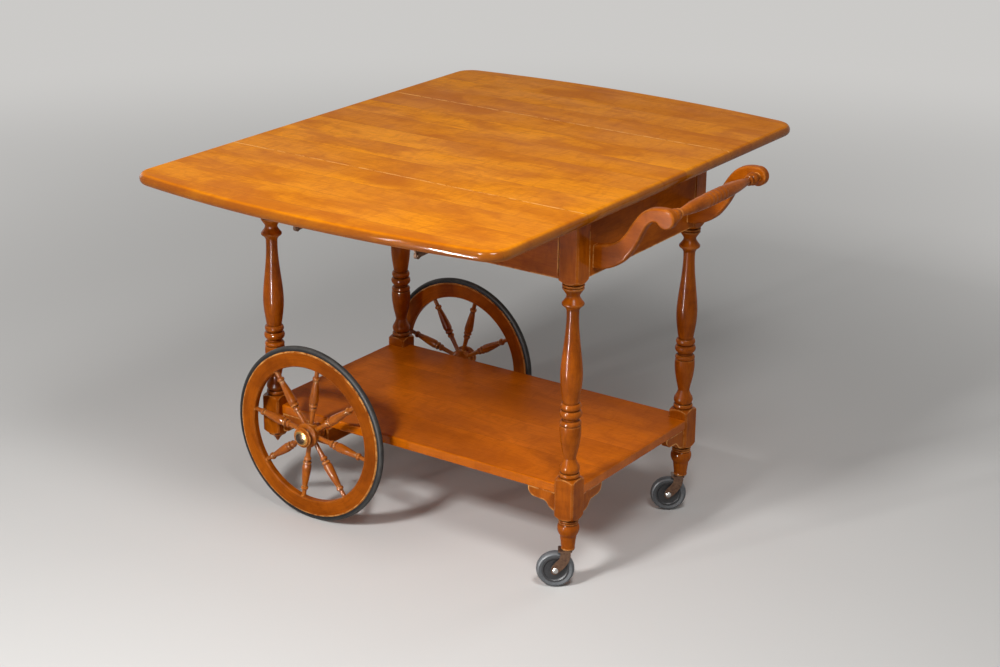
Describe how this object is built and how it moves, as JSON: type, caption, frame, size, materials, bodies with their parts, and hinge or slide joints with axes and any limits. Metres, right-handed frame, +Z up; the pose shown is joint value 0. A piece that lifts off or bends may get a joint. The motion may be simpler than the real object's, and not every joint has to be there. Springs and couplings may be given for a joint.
{
  "type": "drop leaf tea trolley",
  "caption": "Drop leaf tea trolley with turned legs, a lower shelf, spoked wheels at one end, swivel casters and a goose-neck handle at the other.",
  "frame": {"origin": "on the floor, under the middle of the overall box with both leaves up", "axes": "+X towards the handle and the casters, +Y across the top from the near leaf to the far leaf, +Z up"},
  "size_m": [0.9284, 1.1038, 0.745],
  "materials": {
    "top_wood": "satin lacquered maple, honey amber",
    "frame_wood": "satin lacquered maple, redder amber",
    "turned_wood": "satin lacquered turned maple",
    "shelf_wood": "satin lacquered maple",
    "wheel_wood": "satin lacquered maple, turned and bent",
    "hidden_wood": "unfinished hardwood",
    "wheel_rubber": "matt black rubber",
    "caster_rubber": "matt dark grey rubber",
    "caster_disc": "matt near black",
    "bronzed_steel": "antique bronze lacquer on steel",
    "steel": "plain steel",
    "brass": "dull brass plate",
    "cap_metal": "dark polished button"
  },
  "bodies": {
    "frame": {"top_center": "top_wood", "top_cleats": "hidden_wood", "near_side_rail": "frame_wood", "far_side_rail": "frame_wood", "handle_end_rail": "frame_wood", "wheel_end_rail": "frame_wood", "top_hinge_plates": "brass", "leaf_hinge_pins": "steel", "fitting_screws": "steel", "frame_screws": "steel", "stay_rail_brackets": "bronzed_steel", "near_handle_arm": "turned_wood", "far_handle_arm": "turned_wood", "handle_spindle": "turned_wood", "near_handle_leg": "turned_wood", "far_handle_leg": "turned_wood", "near_wheel_leg": "turned_wood", "far_wheel_leg": "turned_wood", "shelf": "shelf_wood", "shelf_brackets": "frame_wood", "axle_beam": "frame_wood", "axle": "steel", "axle_spacers": "steel", "axle_nuts": "steel", "caster_sockets": "bronzed_steel"},
    "near_leaf": {"near_leaf": "top_wood", "near_leaf_hinge_plates": "brass", "near_leaf_brackets": "bronzed_steel", "near_leaf_screws": "steel"},
    "near_stay_arms": {"near_stay_arms": "bronzed_steel"},
    "near_stay_links": {"near_stay_links": "bronzed_steel"},
    "near_wheel": {"near_wheel_hub": "wheel_wood", "near_wheel_hub_bush": "steel", "near_wheel_hub_cap": "cap_metal", "near_wheel_spokes": "wheel_wood", "near_wheel_rim": "wheel_wood", "near_wheel_tyre": "wheel_rubber"},
    "near_caster_swivel": {"near_caster_stem": "steel", "near_caster_fork": "bronzed_steel", "near_caster_rivet": "steel"},
    "near_caster_wheel": {"near_caster_core": "caster_disc", "near_caster_tyre": "caster_rubber"},
    "far_leaf": {"far_leaf": "top_wood", "far_leaf_hinge_plates": "brass", "far_leaf_brackets": "bronzed_steel", "far_leaf_screws": "steel"},
    "far_stay_arms": {"far_stay_arms": "bronzed_steel"},
    "far_stay_links": {"far_stay_links": "bronzed_steel"},
    "far_wheel": {"far_wheel_hub": "wheel_wood", "far_wheel_hub_bush": "steel", "far_wheel_hub_cap": "cap_metal", "far_wheel_spokes": "wheel_wood", "far_wheel_rim": "wheel_wood", "far_wheel_tyre": "wheel_rubber"},
    "far_caster_swivel": {"far_caster_stem": "steel", "far_caster_fork": "bronzed_steel", "far_caster_rivet": "steel"},
    "far_caster_wheel": {"far_caster_core": "caster_disc", "far_caster_tyre": "caster_rubber"}
  },
  "joints": [
    {"name": "near_leaf_hinge", "type": "hinge", "parent": "frame", "child": "near_leaf", "pos_m": [-0.06075, -0.25, 0.7127], "axis": [1, 0, 0], "range_deg": [0, 90]},
    {"name": "near_stay_arm_pivot", "type": "hinge", "parent": "frame", "child": "near_stay_arms", "pos_m": [-0.06075, -0.236, 0.6567], "axis": [1, 0, 0], "range_deg": [0, 90]},
    {"name": "near_stay_link_pivot", "type": "hinge", "parent": "near_stay_arms", "child": "near_stay_links", "pos_m": [-0.06075, -0.386, 0.65], "axis": [1, 0, 0], "range_deg": [-90, 0]},
    {"name": "near_wheel_axle", "type": "hinge", "parent": "frame", "child": "near_wheel", "pos_m": [-0.28275, -0.252, 0.179], "axis": [0, 1, 0], "continuous": true},
    {"name": "near_caster_swivel", "type": "hinge", "parent": "frame", "child": "near_caster_swivel", "pos_m": [0.28625, -0.205, 0.077], "axis": [0, 0, 1], "continuous": true},
    {"name": "near_caster_roll", "type": "hinge", "parent": "near_caster_swivel", "child": "near_caster_wheel", "pos_m": [0.2676, -0.21758, 0.0355], "axis": [0.5592, -0.829, 0], "continuous": true},
    {"name": "far_leaf_hinge", "type": "hinge", "parent": "frame", "child": "far_leaf", "pos_m": [-0.06075, 0.25, 0.7127], "axis": [-1, 0, 0], "range_deg": [0, 90]},
    {"name": "far_stay_arm_pivot", "type": "hinge", "parent": "frame", "child": "far_stay_arms", "pos_m": [-0.06075, 0.236, 0.6567], "axis": [-1, 0, 0], "range_deg": [0, 90]},
    {"name": "far_stay_link_pivot", "type": "hinge", "parent": "far_stay_arms", "child": "far_stay_links", "pos_m": [-0.06075, 0.386, 0.65], "axis": [-1, 0, 0], "range_deg": [-90, 0]},
    {"name": "far_wheel_axle", "type": "hinge", "parent": "frame", "child": "far_wheel", "pos_m": [-0.28275, 0.252, 0.179], "axis": [0, 1, 0], "continuous": true},
    {"name": "far_caster_swivel", "type": "hinge", "parent": "frame", "child": "far_caster_swivel", "pos_m": [0.28625, 0.205, 0.077], "axis": [0, 0, 1], "continuous": true},
    {"name": "far_caster_roll", "type": "hinge", "parent": "far_caster_swivel", "child": "far_caster_wheel", "pos_m": [0.2676, 0.19242, 0.0355], "axis": [0.5592, -0.829, 0], "continuous": true}
  ],
  "couplings": [
    {"joint": "near_stay_arm_pivot", "follows": "near_leaf_hinge", "ratio": 1},
    {"joint": "near_stay_link_pivot", "follows": "near_leaf_hinge", "ratio": -1},
    {"joint": "far_stay_arm_pivot", "follows": "far_leaf_hinge", "ratio": 1},
    {"joint": "far_stay_link_pivot", "follows": "far_leaf_hinge", "ratio": -1}
  ]
}
